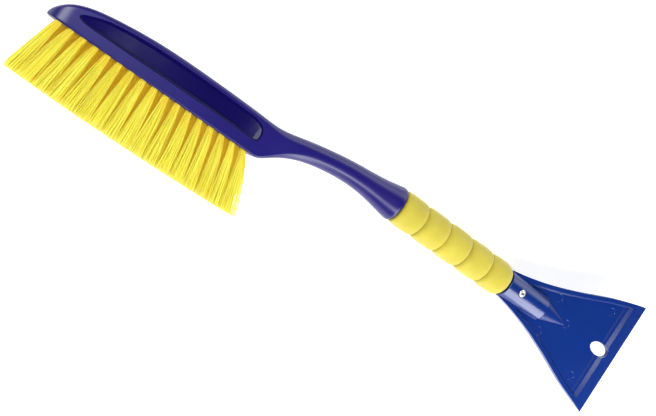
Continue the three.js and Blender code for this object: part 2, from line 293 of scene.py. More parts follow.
class FinishColours(bpy.types.PropertyGroup):
    body: FloatVectorProperty(
        name="Brush Plastic", description="Violet-blue of the brush moulding",
        default=(0.0085, 0.0050, 0.135), subtype="COLOR", min=0, max=1)
    scraper: FloatVectorProperty(
        name="Scraper Plastic", description="Royal blue of the scraper moulding",
        default=(0.0008, 0.0220, 0.180), subtype="COLOR", min=0, max=1)
    foam: FloatVectorProperty(
        name="Foam", description="Lemon yellow of the grip",
        default=(0.545, 0.46, 0.050), subtype="COLOR", min=0, max=1)
    bristle: FloatVectorProperty(
        name="Bristle", description="Yellow of the filaments",
        default=(0.90, 0.85, 0.080), subtype="COLOR", min=0, max=1)
    # Painted shade: this deeper yellow stands in for the shade among the filaments near the block and
    # in the middle row.
    bristle_painted_shade: FloatVectorProperty(
        name="Bristle Root", description="Deeper yellow of the filaments near the block",
        default=(1.0, 0.73, 0.025), subtype="COLOR", min=0, max=1)
    metal: FloatVectorProperty(
        name="Rivet", description="Bright metal of the rivet",
        default=(0.95, 0.95, 0.96), subtype="COLOR", min=0, max=1)


# ---------------------------------------------------------------- materials


class Finish:
    """A node material with a Principled surface and Object coordinates."""

    def __init__(self, name):
        self.material = bpy.data.materials.new(name)
        self.material.use_nodes = True
        self.tree = self.material.node_tree
        self.surface = self.tree.nodes["Principled BSDF"]
        self.place = self.add("ShaderNodeTexCoord").outputs["Object"]

    def add(self, kind, **settings):
        made = self.tree.nodes.new(kind)
        for key, value in settings.items():
            setattr(made, key, value)
        return made

    def join(self, source, target):
        self.tree.links.new(source, target)

    def set(self, **values):
        """Sets constant sockets of the surface, with underscores for spaces."""
        for key, value in values.items():
            self.surface.inputs[key.replace("_", " ")].default_value = value

    def noise(self, scale, detail=2.0, roughness=0.5, stretch=None):
        texture = self.add("ShaderNodeTexNoise")
        texture.inputs["Scale"].default_value = scale
        texture.inputs["Detail"].default_value = detail
        texture.inputs["Roughness"].default_value = roughness
        if stretch:
            mapping = self.add("ShaderNodeMapping")
            mapping.inputs["Scale"].default_value = stretch
            self.join(self.place, mapping.inputs["Vector"])
            self.join(mapping.outputs["Vector"], texture.inputs["Vector"])
        else:
            self.join(self.place, texture.inputs["Vector"])
        return texture.outputs["Fac"]

    def cells(self, scale, feature="F1"):
        texture = self.add("ShaderNodeTexVoronoi", feature=feature)
        texture.inputs["Scale"].default_value = scale
        self.join(self.place, texture.inputs["Vector"])
        return texture.outputs["Distance"]

    def spread(self, value, low, high, out_low, out_high):
        node = self.add("ShaderNodeMapRange")
        for socket, number in (("From Min", low), ("From Max", high),
                               ("To Min", out_low), ("To Max", out_high)):
            node.inputs[socket].default_value = number
        self.join(value, node.inputs["Value"])
        return node.outputs["Result"]

    def blend(self, factor, first, second):
        """Mixes two colours, each a socket or an RGB triple."""
        node = self.add("ShaderNodeMix", data_type="RGBA")
        for socket, colour in ((node.inputs[6], first), (node.inputs[7], second)):
            if isinstance(colour, bpy.types.NodeSocket):
                self.join(colour, socket)
            else:
                socket.default_value = (*colour, 1)
        self.join(factor, node.inputs[0])
        return node.outputs[2]

    def bump(self, heights):
        """Chains bumps, each (height socket, strength, distance in metres)."""
        normal = None
        for height, strength, distance in heights:
            node = self.add("ShaderNodeBump")
            node.inputs["Strength"].default_value = strength
            node.inputs["Distance"].default_value = distance
            self.join(height, node.inputs["Height"])
            if normal:
                self.join(normal, node.inputs["Normal"])
            normal = node.outputs["Normal"]
        self.join(normal, self.surface.inputs["Normal"])


def tint(colour, factor):
    return tuple(min(1.0, part * factor) for part in colour)


def moulded_plastic(name, colour, glow, roughness):
    """Injection-moulded plastic: flow shading, a faint spark texture, dust and hair scratches."""
    finish = Finish(name)
    flow = finish.noise(14, 3, 0.55, stretch=(0.35, 1, 1))
    base = finish.blend(
        finish.spread(flow, 0.3, 0.7, 0, 1), tint(colour, 0.86), tint(colour, 1.16))
    dust = finish.noise(420, 4, 0.65)
    base = finish.blend(finish.spread(dust, 0.62, 0.85, 0, 0.05), base, glow)
    finish.join(base, finish.surface.inputs["Base Color"])
    scratches = finish.noise(900, 2, 0.6, stretch=(0.05, 1, 1))
    smear = finish.noise(32, 4, 0.6)
    finish.join(
        finish.spread(smear, 0.3, 0.7, roughness - 0.015, roughness + 0.03),
        finish.surface.inputs["Roughness"])
    finish.bump([
        (finish.noise(2600, 2, 0.5), 0.14, 0.00002),
        (scratches, 0.08, 0.00002),
        (finish.noise(38, 1, 0.4), 0.10, 0.0001),
    ])
    finish.set(IOR=1.48, Specular_IOR_Level=0.5)
    return finish


def body_plastic(colours):
    return moulded_plastic("brush_plastic", colours.body, (0.30, 0.28, 0.52), 0.33).material


def polished_shaded_plastic(colours):
    """The same plastic where the mould was polished, in the recesses: a smoother surface, and a base
    colour darkened to 0.6 of the body's as painted shade.
    """
    # Painted shade: the darker base colour stands in for the shade in the recess; the low roughness
    # is the real polish.
    return moulded_plastic(
        "brush_plastic_polished", tint(colours.body, 0.6), (0.20, 0.18, 0.40), 0.12).material


def scraper_plastic(colours):
    finish = moulded_plastic("scraper_plastic", colours.scraper, (0.20, 0.35, 0.80), 0.30)
    finish.set(
        Subsurface_Weight=0.12, Subsurface_Radius=(0.2, 0.5, 1.0), Subsurface_Scale=0.004,
        Coat_Weight=0.22, Coat_Roughness=0.12)
    return finish.material


def foam_rubber(colours):
    """Closed-cell foam: small pits in several sizes, with painted shade darkening each pit, uneven
    colour, a soft dull surface.
    """
    finish = Finish("foam")
    large = finish.noise(60, 3, 0.5)
    pits = finish.cells(1500)
    colour = finish.blend(
        finish.spread(large, 0.3, 0.7, 0, 1), tint(colours.foam, 0.93), tint(colours.foam, 1.06))
    # Painted shade: the colour darkens towards the bottom of each pit.
    colour = finish.blend(
        finish.spread(pits, 0.0, 0.22, 0.35, 0), colour, tint(colours.foam, 0.72))
    finish.join(colour, finish.surface.inputs["Base Color"])
    finish.join(
        finish.spread(finish.noise(500, 2), 0.3, 0.7, 0.78, 0.95),
        finish.surface.inputs["Roughness"])
    finish.bump([
        (pits, 0.55, 0.00022),
        (finish.noise(1100, 4, 0.7), 0.5, 0.0002),
        (finish.noise(120, 3, 0.5), 0.35, 0.0005),
    ])
    finish.set(
        Subsurface_Weight=0.25, Subsurface_Radius=(1.0, 0.8, 0.2), Subsurface_Scale=0.003,
        Sheen_Weight=0.25, Sheen_Roughness=0.5, IOR=1.35)
    return finish.material


def bristle_nylon(colours):
    """Filaments: each has its own random tone (its shade attribute), a deeper yellow near the block
    and all along the middle row that is painted shade, and is paler at its cut tip.
    """
    finish = Finish("bristle")
    shade = finish.add("ShaderNodeAttribute", attribute_name="shade").outputs["Fac"]
    along = finish.add("ShaderNodeAttribute", attribute_name="along").outputs["Fac"]
    own = finish.blend(shade, (0.84, 0.76, 0.045), (0.98, 0.96, 0.17))
    inner = finish.add("ShaderNodeAttribute", attribute_name="inner").outputs["Fac"]
    # Painted shade: the deeper colour grows towards the block and fills the middle row, which the
    # outer rows shade.
    root = finish.add("ShaderNodeMath", operation="MAXIMUM")
    finish.join(finish.spread(along, 0.0, 0.30, 0.45, 0.0), root.inputs[0])
    finish.join(finish.spread(inner, 0, 1, 0, 0.8), root.inputs[1])
    deep = root.outputs[0]
    colour = finish.blend(deep, own, colours.bristle_painted_shade)
    pale = finish.spread(along, 0.90, 1.0, 0.0, 0.35)
    colour = finish.blend(pale, colour, (0.98, 0.90, 0.36))
    streak = finish.noise(1200, 2, 0.5, stretch=(1, 0.08, 1))
    colour = finish.blend(
        finish.spread(streak, 0.35, 0.65, 0, 0.15), colour, tint(colours.bristle, 0.80))
    finish.join(colour, finish.surface.inputs["Base Color"])
    finish.join(
        finish.spread(shade, 0, 1, 0.34, 0.48), finish.surface.inputs["Roughness"])
    finish.set(IOR=1.45)
    through = finish.add("ShaderNodeBsdfTranslucent")
    finish.join(colour, through.inputs["Color"])
    both = finish.add("ShaderNodeMixShader")
    both.inputs[0].default_value = 0.35
    finish.join(finish.surface.outputs[0], both.inputs[1])
    finish.join(through.outputs[0], both.inputs[2])
    finish.join(both.outputs[0], finish.tree.nodes["Material Output"].inputs["Surface"])
    return finish.material


def bright_metal(name, colour, roughness, metallic=1.0):
    finish = Finish(name)
    turned = finish.noise(900, 2, 0.5, stretch=(1, 1, 0.1))
    finish.join(
        finish.blend(turned, tint(colour, 0.85), tint(colour, 1.05)),
        finish.surface.inputs["Base Color"])
    finish.join(
        finish.spread(turned, 0.3, 0.7, roughness, roughness + 0.14),
        finish.surface.inputs["Roughness"])
    finish.bump([(finish.noise(1600, 3, 0.6), 0.25, 0.00004)])
    finish.set(Metallic=metallic)
    return finish.material


# ---------------------------------------------------------------- brush body

# Sections along the body in millimetres: X, top, bottom, half width, upper and lower corner radius.
BLOCK_BOTTOM = -35.2
WIDE = 15.0
BODY_SECTIONS = (
    (-296.3, -33.4, BLOCK_BOTTOM + 0.7, 2.8, 0.8, 0.7),
    (-295.4, -30.6, BLOCK_BOTTOM, 5.8, 1.8, 1.0),
    (-293.2, -27.4, BLOCK_BOTTOM, 9.1, 2.6, 1.2),
    (-289.6, -23.5, BLOCK_BOTTOM, 12.2, 3.0, 1.4),
    (-285.0, -20.0, BLOCK_BOTTOM, 14.2, 3.2, 1.5),
    (-279.0, -17.0, BLOCK_BOTTOM, WIDE, 3.2, 1.6),
    (-270.0, -13.9, BLOCK_BOTTOM, WIDE, 3.2, 1.6),
    (-258.0, -11.5, BLOCK_BOTTOM, WIDE, 3.2, 1.6),
    (-242.0, -9.1, BLOCK_BOTTOM, WIDE, 3.2, 1.6),
    (-222.0, -6.9, BLOCK_BOTTOM, WIDE, 3.2, 1.6),
    (-200.0, -6.0, BLOCK_BOTTOM, WIDE, 3.2, 1.6),
    (-175.0, -5.7, BLOCK_BOTTOM, WIDE, 3.2, 1.6),
    (-150.0, -5.8, BLOCK_BOTTOM, WIDE, 3.2, 1.6),
    (-134.0, -6.1, BLOCK_BOTTOM, WIDE, 3.4, 1.6),
    (-124.0, -6.4, BLOCK_BOTTOM, WIDE, 3.8, 1.6),
    (-119.5, -6.3, BLOCK_BOTTOM + 0.2, 14.9, 4.4, 1.8),
    (-116.0, -6.0, -33.0, 14.6, 5.0, 2.2),
    (-110.0, -5.1, -28.6, 13.8, 6.0, 3.4),
    (-103.0, -3.4, -23.9, 12.6, 7.0, 5.0),
    (-94.0, -0.9, -19.4, 11.5, 7.8, 6.6),
    (-82.0, 2.0, -15.2, 10.7, 8.2, 7.8),
    (-66.0, 5.2, -11.9, 10.2, 8.3, 8.2),
    (-48.0, 8.1, -9.9, 10.0, 8.7, 8.7),
    (-30.0, 9.9, -10.5, 10.6, 10.0, 10.0),
    (-18.0, 11.6, -12.4, 12.1, 11.8, 11.8),
    (-8.0, 13.8, -14.2, 14.1, 13.8, 13.8),
    (-3.2, 14.9, -14.9, 15.0, 14.7, 14.7),
    (-1.2, 15.0, -15.0, 15.0, 14.8, 14.8),
    (-0.2, 14.5, -14.5, 14.5, 14.3, 14.3),
)
CORNER_STEPS = 8
STEM_RADIUS = 9.8
STEM_END = 162.5
STEM_BORE_RADIUS = 6.8
STEM_BORE_START = 8.0


def add_section(body, x, top, bottom, half, upper, lower):
    """Draws one rounded rectangle across the body as a face."""
    centre = at(x, (top + bottom) / 2)
    bpy.ops.mesh.select_all(action="DESELECT")
    bpy.ops.mesh.primitive_plane_add(size=1, location=centre, rotation=(0, math.pi / 2, 0))
    bpy.ops.transform.resize(
        value=(1, (top - bottom) * MM, 2 * half * MM), center_override=centre)
    for radius, is_corner in (
        (upper, lambda vertex: vertex.co.y > centre.y),
        (lower, lambda vertex: vertex.co.y < centre.y - (top - bottom) * MM * 0.499),
    ):
        pick(body, "VERT", lambda vertex: abs(vertex.co.x - centre.x) < 1e-6 and is_corner(vertex))
        bpy.ops.mesh.bevel(
            offset=radius * MM, offset_type="OFFSET", segments=CORNER_STEPS, affect="VERTICES")


def close_end(body, x):
    """Fills the open ring of the body at x."""
    place = at(x, 0).x
    pick(body, "EDGE", lambda edge: all(abs(v.co.x - place) < 2e-5 for v in edge.verts))
    bpy.ops.mesh.edge_face_add()


def body_shell():
    body = start_mesh("brush_body_shell", bpy.ops.mesh.primitive_plane_add, size=MM)
    bpy.ops.mesh.delete(type="VERT")
    for section in BODY_SECTIONS:
        add_section(body, *section)
    bpy.ops.mesh.select_mode(type="FACE")
    bpy.ops.mesh.select_all(action="SELECT")
    bpy.ops.mesh.delete(type="ONLY_FACE")
    bpy.ops.mesh.select_mode(type="EDGE")
    bpy.ops.mesh.select_all(action="SELECT")
    bpy.ops.mesh.bridge_edge_loops(type="SINGLE", use_merge=False)
    close_end(body, BODY_SECTIONS[0][0])
    close_editing()
    apply_modifier(body, "SUBSURF", levels=2, render_levels=2)
    open_for_editing(body)
    close_end(body, BODY_SECTIONS[-1][0])
    return body


def add_stem(body):
    """Carries the handle stem on from the collar's end face, with a blind bore from its far end."""
    collar_end = at(BODY_SECTIONS[-1][0], 0).x
    bpy.ops.mesh.select_all(action="DESELECT")
    pick(body, "FACE", lambda face: all(abs(v.co.x - collar_end) < 2e-5 for v in face.verts))
    bpy.ops.mesh.inset(thickness=(BODY_SECTIONS[-1][3] - STEM_RADIUS) * MM)
    bpy.ops.mesh.extrude_region_move(
        TRANSFORM_OT_translate={"value": (at(STEM_END, 0).x - collar_end, 0, 0)})
    bpy.ops.mesh.inset(thickness=(STEM_RADIUS - STEM_BORE_RADIUS) * MM)
    bpy.ops.mesh.extrude_region_move(
        TRANSFORM_OT_translate={"value": ((STEM_BORE_START - STEM_END) * MM, 0, 0)})
    close_editing()


# Corner points of the recess outline in millimetres, each with the handles of a smooth curve.
RECESS_POINTS = (
    ((-277.0, -23.8), (-277.0, -25.6), (-277.0, -22.4)),
    ((-261.4, -16.4), (-268.5, -18.8), (-254.5, -14.0)),
    ((-222.0, -11.0), (-238.0, -12.1), (-210.0, -10.3)),
    ((-180.0, -9.9), (-195.0, -9.9), (-165.0, -9.9)),
    ((-140.0, -10.3), (-152.0, -9.9), (-131.0, -10.6)),
    ((-125.6, -20.4), (-125.6, -13.6), (-125.6, -22.2)),
    ((-129.2, -25.2), (-125.6, -25.0), (-134.0, -25.3)),
    ((-200.0, -25.9), (-170.0, -25.6), (-230.0, -26.3)),
    ((-267.0, -27.0), (-250.0, -26.7), (-273.0, -27.1)),
)


DISH_STEPS = 36
DISH_RISE = 2.8
PLUG_EXTRA = 1.2 * MM  # the plug's walls go on below the floor, which the former then trims


def recess_plug(sizes, side):
    """A teardrop plug with sloping walls, deeper than the recess."""
    bpy.ops.object.select_all(action="DESELECT")
    bpy.ops.curve.primitive_bezier_circle_add(radius=MM)
    outline = bpy.context.object
    spline = outline.data.splines[0]
    spline.bezier_points.add(len(RECESS_POINTS) - len(spline.bezier_points))
    height = side * WIDE
    for point, (place, before, after) in zip(spline.bezier_points, RECESS_POINTS):
        point.handle_left_type = "FREE"
        point.handle_right_type = "FREE"
        point.co = at(*place, height)
        point.handle_left = at(*before, height)
        point.handle_right = at(*after, height)
    spline.resolution_u = 12
    outline.data.dimensions = "3D"
    bpy.ops.object.convert(target="MESH")
    plug = bpy.context.object
    plug.name = "recess_plug"
    open_for_editing(plug)
    bpy.ops.mesh.select_all(action="SELECT")
    bpy.ops.mesh.edge_face_add()
    bpy.ops.mesh.extrude_region_move(TRANSFORM_OT_translate={"value": (0, 0, side * 4 * MM)})
    level = at(0, 0, height).z
    pick(plug, "EDGE", lambda edge: all(abs(v.co.z - level) < 1e-6 for v in edge.verts))
    bpy.ops.mesh.edge_face_add()
    deep = sizes.recess_depth + PLUG_EXTRA
    bpy.ops.mesh.inset(thickness=sizes.recess_wall * deep / sizes.recess_depth, depth=0)
    bpy.ops.transform.translate(value=(0, 0, -side * deep))
    close_editing()
    tidy_mesh(plug)
    return plug


def floor_former(sizes, side):
    """A slab whose inner face is the recess's floor: flat half way along, rising to its ends."""
    low, high = RECESS_POINTS[0][0][0] - 4, RECESS_POINTS[5][0][0] + 4
    centre = (RECESS_POINTS[0][0][0] + RECESS_POINTS[5][0][0]) / 2
    reach = (RECESS_POINTS[5][0][0] - RECESS_POINTS[0][0][0]) / 2
    floor = WIDE - sizes.recess_depth / MM
    place = at((low + high) / 2, -20, side * floor)
    former = start_mesh(
        "floor_former", bpy.ops.mesh.primitive_grid_add, x_subdivisions=DISH_STEPS,
        y_subdivisions=1, size=1, location=place)
    bpy.ops.transform.resize(
        value=((high - low) * MM, 50 * MM, 1), center_override=place)
    for step in range(DISH_STEPS + 1):
        x = low + (high - low) * step / DISH_STEPS
        pick(former, "VERT", lambda vertex: abs(vertex.co.x - at(x, 0).x) < 1e-5)
        rise = DISH_RISE * ((x - centre) / reach) ** 4
        bpy.ops.transform.translate(value=(0, 0, side * rise * MM))
    bpy.ops.mesh.select_all(action="SELECT")
    bpy.ops.mesh.extrude_region_move(TRANSFORM_OT_translate={"value": (0, 0, side * 12 * MM)})
    close_editing()
    tidy_mesh(former)
    return former


def recess_cutter(sizes, side):
    plug = recess_plug(sizes, side)
    cut(plug, floor_former(sizes, side), "INTERSECT")
    return plug


def in_recess(place):
    """True inside the box that holds the recesses of both sides."""
    low, high = at(-278, -28.5), at(-124.5, -8.5)
    return low.x < place.x < high.x and low.y < place.y < high.y


def tuft_hole_cutter(sizes):
    """All the tuft holes as one cutter, copied from a single drill shape."""
    depth = sizes.hole_depth + 2 * MM
    first = tuft_places()[0]
    mouth = at(first["root"][0], BLOCK_BOTTOM, first["root"][1])
    drill = bar(
        "tuft_hole_cutter", mouth + Vector((0, sizes.hole_depth, 0)), mouth - Vector((0, 2 * MM, 0)),
        sizes.hole_radius, sizes.hole_radius, 16)
    open_for_editing(drill)
    bpy.ops.mesh.select_all(action="SELECT")
    before = first["root"]
    for place in tuft_places()[1:]:
        step = Vector((place["root"][0] - before[0], 0, place["root"][1] - before[1])) * MM
        bpy.ops.mesh.duplicate_move(TRANSFORM_OT_translate={"value": step})
        before = place["root"]
    close_editing()
    return drill


class SNOWBRUSH_OT_body(bpy.types.Operator):
    """Model the brush block, neck, collar and handle stem as one moulding"""

    bl_idname = "snowbrush.body"
    bl_label = "Brush Body"

    def execute(self, context):
        sizes = context.scene.snowbrush_body
        body = body_shell()
        add_stem(body)
        tidy_mesh(body)
        for side in (1, -1):
            cut(body, recess_cutter(sizes, side))
        self.round_recess(body, sizes)
        cut(body, tuft_hole_cutter(sizes))
        rivet_x = (RIVET_BOX[0][0] + RIVET_BOX[1][0]) / 2
        hole = bar(
            "rivet_hole", Vector((rivet_x, AXIS.y, AXIS.z)),
            Vector((rivet_x, AXIS.y, AXIS.z + 12 * MM)), 2.3 * MM, 2.3 * MM, 24)
        cut(body, hole)
        body.name = "brush_body_moulding"
        smooth(body, 34)
        colours = context.scene.snowbrush_colours
        give(body, body_plastic(colours), "brush_plastic", "brush_body")
        self.polish_and_shade_recess(body, polished_shaded_plastic(colours))
        return {"FINISHED"}

    def round_recess(self, body, sizes):
        """Rounds the foot of the recess's wall, and then its rim."""
        foot = (WIDE - 0.7) * MM
        rim = (WIDE - 0.35) * MM
        open_for_editing(body)
        for name, radius, is_right in (
            ("foot", 1.1 * MM, lambda height: height < foot),
            ("rim", 0.55 * MM, lambda height: height > rim),
        ):
            count = pick(body, "EDGE", lambda edge: turn(edge) > math.radians(14)
                         and in_recess(middle(edge))
                         and is_right(abs(middle(edge).z - AXIS.z))
                         and abs(middle(edge).z - AXIS.z) > 9 * MM)
            if count == 0:
                raise RuntimeError(f"the recess has no {name} to round")
            bpy.ops.mesh.bevel(offset=radius, segments=3, affect="EDGES", clamp_overlap=True)
        close_editing()

    def polish_and_shade_recess(self, body, material):
        # Gives the recess's floor and lower wall the polished material with its painted shade.
        body.data.materials.append(material)
        open_for_editing(body)
        skin = (WIDE - 0.25) * MM
        count = pick(body, "FACE", lambda face: in_recess(middle(face))
                     and 9 * MM < abs(middle(face).z - AXIS.z) < skin
                     and (face.normal.y < 0.3 or middle(face).y < at(0, -22).y))
        if count == 0:
            raise RuntimeError("the recess has no faces to polish")
        body.active_material_index = 1
        bpy.ops.object.material_slot_assign()
        close_editing()


# ---------------------------------------------------------------- tufts and anchors

TUFT_ROWS = ((1, 17, 0.0), (0, 16, 0.5), (-1, 17, 0.0))  # side, tufts, stagger
ROOT_FIRST, ROOT_PITCH = -286.0, 9.75
TIP_FIRST, TIP_PITCH = -294.6, 11.22
ROW_SPACING = 7.5
ROW_TIP_SPACING = 9.6
TIP_RADIUS = 6.2
TUFT_LENGTH = 46.6
FAN_EASE = 0.85  # below one, a tuft spreads soonest near the block
END_SPLAY = 0.45  # how much further the filaments of the last tufts stray


def tuft_places():
    """Root and tip centre of each tuft, as (x, z) in millimetres."""
    places = []
    for side, count, stagger in TUFT_ROWS:
        for i in range(count):
            along = i + stagger
            places.append({
                "label": f"row{2 - side}_{i + 1:02d}",
                "root": (ROOT_FIRST + along * ROOT_PITCH, side * ROW_SPACING),
                "tip": (TIP_FIRST + along * TIP_PITCH, side * ROW_TIP_SPACING),
                "along": along / (TUFT_ROWS[0][1] - 1),
                "inner": 0.0 if side else 1.0,
            })
    return places


def disc_point(index, count, chance):
    """A point of an even sunflower spread in a unit disc, a little disturbed."""
    golden = math.pi * (3 - math.sqrt(5))
    radius = math.sqrt((index + 0.5) / count)
    angle = index * golden + chance.uniform(-0.25, 0.25)
    return radius * math.cos(angle), radius * math.sin(angle)


FILAMENT_STEPS = 6


def filament_path(place, sizes, index, chance):
    """Centre line of one filament, from inside its hole to its cut tip."""
    u, w = disc_point(index, sizes.filaments, chance)
    root_radius = (sizes.hole_radius_mm - 0.55)
    root = Vector((place["root"][0] + u * root_radius, 0, place["root"][1] + w * root_radius))
    splay = 1.0 + END_SPLAY * max(0.0, place["along"] - 0.93) / 0.07
    stray = (1.0 + 0.35 * chance.random() ** 6) * splay
    tip_u = (u * 0.8 + chance.uniform(-0.26, 0.26)) * TIP_RADIUS * stray
    tip_w = (w * 0.8 + chance.uniform(-0.26, 0.26)) * TIP_RADIUS * 0.86
    tip = Vector((place["tip"][0] + tip_u, 0, place["tip"][1] + tip_w))
    tip.z = max(-14.7, min(14.7, tip.z))
    bow = 0.9 - 1.6 * (place["along"] - 0.5) ** 2 * 4
    length = TUFT_LENGTH + bow + chance.uniform(-1, 0.35) * sizes.spread_mm
    curl = chance.uniform(-0.5, 0.5)
    lift = chance.uniform(-0.4, 0.4)
    points = [Vector((root.x, BLOCK_BOTTOM + 7.5, root.z))]
    for step in range(FILAMENT_STEPS + 1):
        part = step / FILAMENT_STEPS
        ease = part ** FAN_EASE
        sway = math.sin(math.pi * part)
        points.append(Vector((
            root.x + (tip.x - root.x) * ease + curl * sway,
            BLOCK_BOTTOM - length * part,
            root.z + (tip.z - root.z) * ease + lift * sway)))
    return points


class TuftPlan:
    """Plain numbers of the tufts, in millimetres."""

    def __init__(self, scene):
        sizes = scene.snowbrush_tufts
        self.filaments = sizes.filaments
        self.radius = sizes.filament_radius
        self.spread_mm = sizes.length_spread / MM
        self.hole_radius_mm = scene.snowbrush_body.hole_radius / MM
        self.seed = sizes.seed


def paint_filaments(tuft, place, plan, chance):
    """Stores each filament's own shade, and how far along its filament a vertex is."""
    mesh = tuft.data
    shade = mesh.attributes.new("shade", "FLOAT", "POINT")
    inner = mesh.attributes.new("inner", "FLOAT", "POINT")
    along = mesh.attributes.new("along", "FLOAT", "POINT")
    per_filament = len(mesh.vertices) // plan.filaments
    shades = [chance.random() for _ in range(plan.filaments)]
    top = AXIS.y + BLOCK_BOTTOM * MM
    for vertex in mesh.vertices:
        shade.data[vertex.index].value = shades[min(vertex.index // per_filament, plan.filaments - 1)]
        along.data[vertex.index].value = max(0.0, (top - vertex.co.y) / (TUFT_LENGTH * MM))
        # inner marks the middle row, which the bristle material paints with deeper shade.
        inner.data[vertex.index].value = place["inner"]


def make_tuft(place, plan, chance):
    """One bundle of filaments, drawn as curves with a round section and turned into a mesh."""
    bpy.ops.object.select_all(action="DESELECT")
    bpy.ops.curve.primitive_nurbs_path_add()
    tuft = bpy.context.object
    curve = tuft.data
    curve.splines.clear()
    for index in range(plan.filaments):
        points = filament_path(place, plan, index, chance)
        spline = curve.splines.new("POLY")
        spline.points.add(len(points) - 1)
        for point, where in zip(spline.points, points):
            point.co = (*at(*where), 1)
    curve.dimensions = "3D"
    curve.bevel_depth = plan.radius
    curve.bevel_resolution = 0
    curve.use_fill_caps = True
    bpy.ops.object.convert(target="MESH")
    tuft = bpy.context.object
    tuft.name = f"bristles_{place['label']}"
    tuft.data.name = tuft.name
    paint_filaments(tuft, place, plan, chance)
    bpy.ops.object.shade_smooth()
    return tuft


class SNOWBRUSH_OT_tufts(bpy.types.Operator):
    """Model every tuft as a bundle of separate filaments that leaves its hole in the block"""

    bl_idname = "snowbrush.tufts"
    bl_label = "Bristle Tufts"

    def execute(self, context):
        plan = TuftPlan(context.scene)
        material = bristle_nylon(context.scene.snowbrush_colours)
        chance = random.Random(plan.seed)
        for place in tuft_places():
            tuft = make_tuft(place, plan, chance)
            give(tuft, material, "bristle", f"tuft_{place['label']}")
        return {"FINISHED"}


class SNOWBRUSH_OT_anchors(bpy.types.Operator):
    """Model the flat steel anchor that holds the folded tuft at the bottom of each hole"""

    bl_idname = "snowbrush.anchors"
    bl_label = "Tuft Anchors"

    def execute(self, context):
        depth = context.scene.snowbrush_body.hole_depth / MM
        material = bright_metal("anchor_steel", (0.62, 0.62, 0.64), 0.35)
        first = None
        for place in tuft_places():
            centre = at(place["root"][0], BLOCK_BOTTOM + depth - 1.1, place["root"][1])
            if first is None:
                anchor = start_mesh("anchor", bpy.ops.mesh.primitive_cube_add, size=1)
                bpy.ops.transform.resize(
                    value=(3.6 * MM, 1.7 * MM, 0.4 * MM), center_override=(0, 0, 0))
                bpy.ops.mesh.bevel(offset=0.1 * MM, segments=2, affect="EDGES")
                close_editing()
                first = anchor.data.copy()
            else:
                anchor = bpy.data.objects.new("anchor", first.copy())
                context.collection.objects.link(anchor)
            anchor.data.transform(Matrix.Translation(centre))
            anchor.name = f"anchor_{place['label']}"
            anchor.data.name = anchor.name
            give(anchor, material, "staple_metal")
        return {"FINISHED"}


# ---------------------------------------------------------------- foam grip


def grip_profile(sizes, length, radius):
    """The sleeve's outline: barrel-shaped lobes, soft V grooves, rounded ends, and the bore."""
    lobe = length / sizes.lobes
    steps = 22
    profile = [(0.0, sizes.bore_radius)]
    for i in range(sizes.lobes * steps + 1):
        along = i / steps * lobe
        across = abs((i % steps) / steps * 2 - 1)
        is_end = i in (0, sizes.lobes * steps)
        crown = (1 - across ** (3.5 if along > length - lobe / 2 else 6)) ** 0.6
        depth = sizes.groove_depth * (1.9 if along > length - lobe / 2 or is_end else 1.0)
        barrel = 0.25 * MM * (1 - across ** 2)
        profile.append((along, radius - 0.25 * MM + barrel - depth * (1 - crown)))
    profile.append((length, sizes.bore_radius))
    profile.append(profile[0])
    return profile


class SNOWBRUSH_OT_grip(bpy.types.Operator):
    """Turn the lobed foam sleeve and give it a slightly uneven skin"""

    bl_idname = "snowbrush.grip"
    bl_label = "Foam Grip"

    def execute(self, context):
        sizes = context.scene.snowbrush_grip
        length = GRIP_BOX[1][0] - GRIP_BOX[0][0]
        radius = (GRIP_BOX[1][2] - GRIP_BOX[0][2]) / 2
        start = Vector((GRIP_BOX[0][0], AXIS.y, AXIS.z))
        grip = lathe("foam_sleeve", grip_profile(sizes, length, radius), start, Vector((1, 0, 0)), 96)
        skin = bpy.data.textures.new("foam_skin", "CLOUDS")
        skin.noise_scale = 9 * MM
        skin.noise_depth = 3
        apply_modifier(
            grip, "DISPLACE", texture=skin, texture_coords="LOCAL", strength=0.32 * MM,
            mid_level=0.6)
        smooth(grip, 60)
        give(grip, foam_rubber(context.scene.snowbrush_colours), "foam", "foam_grip")
        return {"FINISHED"}


# ---------------------------------------------------------------- scraper

# Half widths of the plate at distances back from the scraping edge, in millimetres.
PLATE_COLUMNS = (
    (0.0, 55.5), (13.0, 51.9), (20.0, 49.6), (28.0, 46.9), (36.6, 43.8), (46.0, 39.9),
    (55.5, 35.8), (65.0, 31.8), (74.4, 28.2), (84.0, 24.7), (93.4, 21.6), (103.0, 18.8),
    (112.5, 16.4), (122.0, 14.3), (131.3, 12.6),
)
SOCKET_START, SOCKET_END = 121.2, 165.0
SOCKET_RADIUS, SOCKET_END_RADIUS = 12.5, 12.1
SOCKET_BORE = 10.1
FAIRING_LENGTH = 26.0
FAIRING_HALF_WIDTH = 10.5
FAIRING_RIDGE = 8.5  # height of its ridge over the handle's axis, at the socket
HOLE_BACK = 19.9  # distance of the hanging hole's centre from the scraping edge
HOLE_HALF_LENGTH, HOLE_HALF_WIDTH = 9.6, 5.8
EJECTOR_MARKS = ((80.0, 16.6), (80.0, -17.4), (61.0, 1.2), (29.5, 33.5), (29.5, -33.5))
EJECTOR_RADIUS = 3.4
EJECTOR_DEPTH = 0.25
EJECTOR_SLOPE = 0.3
PLATE_EDGE_X = 252.8
PLATE_EDGE_Z = 7.4


LAND_HEIGHT = 3.8 * MM  # of the low step between the panel and the ridge


def shift_row(plate, x, z, amount):
    """Moves the straight row of points that lies across the plate at x, at height z.

    The faces that were selected before stay selected.
    """
    shape = bmesh.from_edit_mesh(plate.data)
    kept = {face.index for face in shape.faces if face.select}
    count = pick(plate, "VERT", lambda vertex: abs(vertex.co.x - x) < 0.1 * MM
                 and abs(vertex.co.z - z) < 1e-5)
    if count == 0:
        raise RuntimeError(f"no row of points across the plate at {x}")
    bpy.ops.transform.translate(value=(amount, 0, 0))
    pick(plate, "FACE", lambda face: face.index in kept)


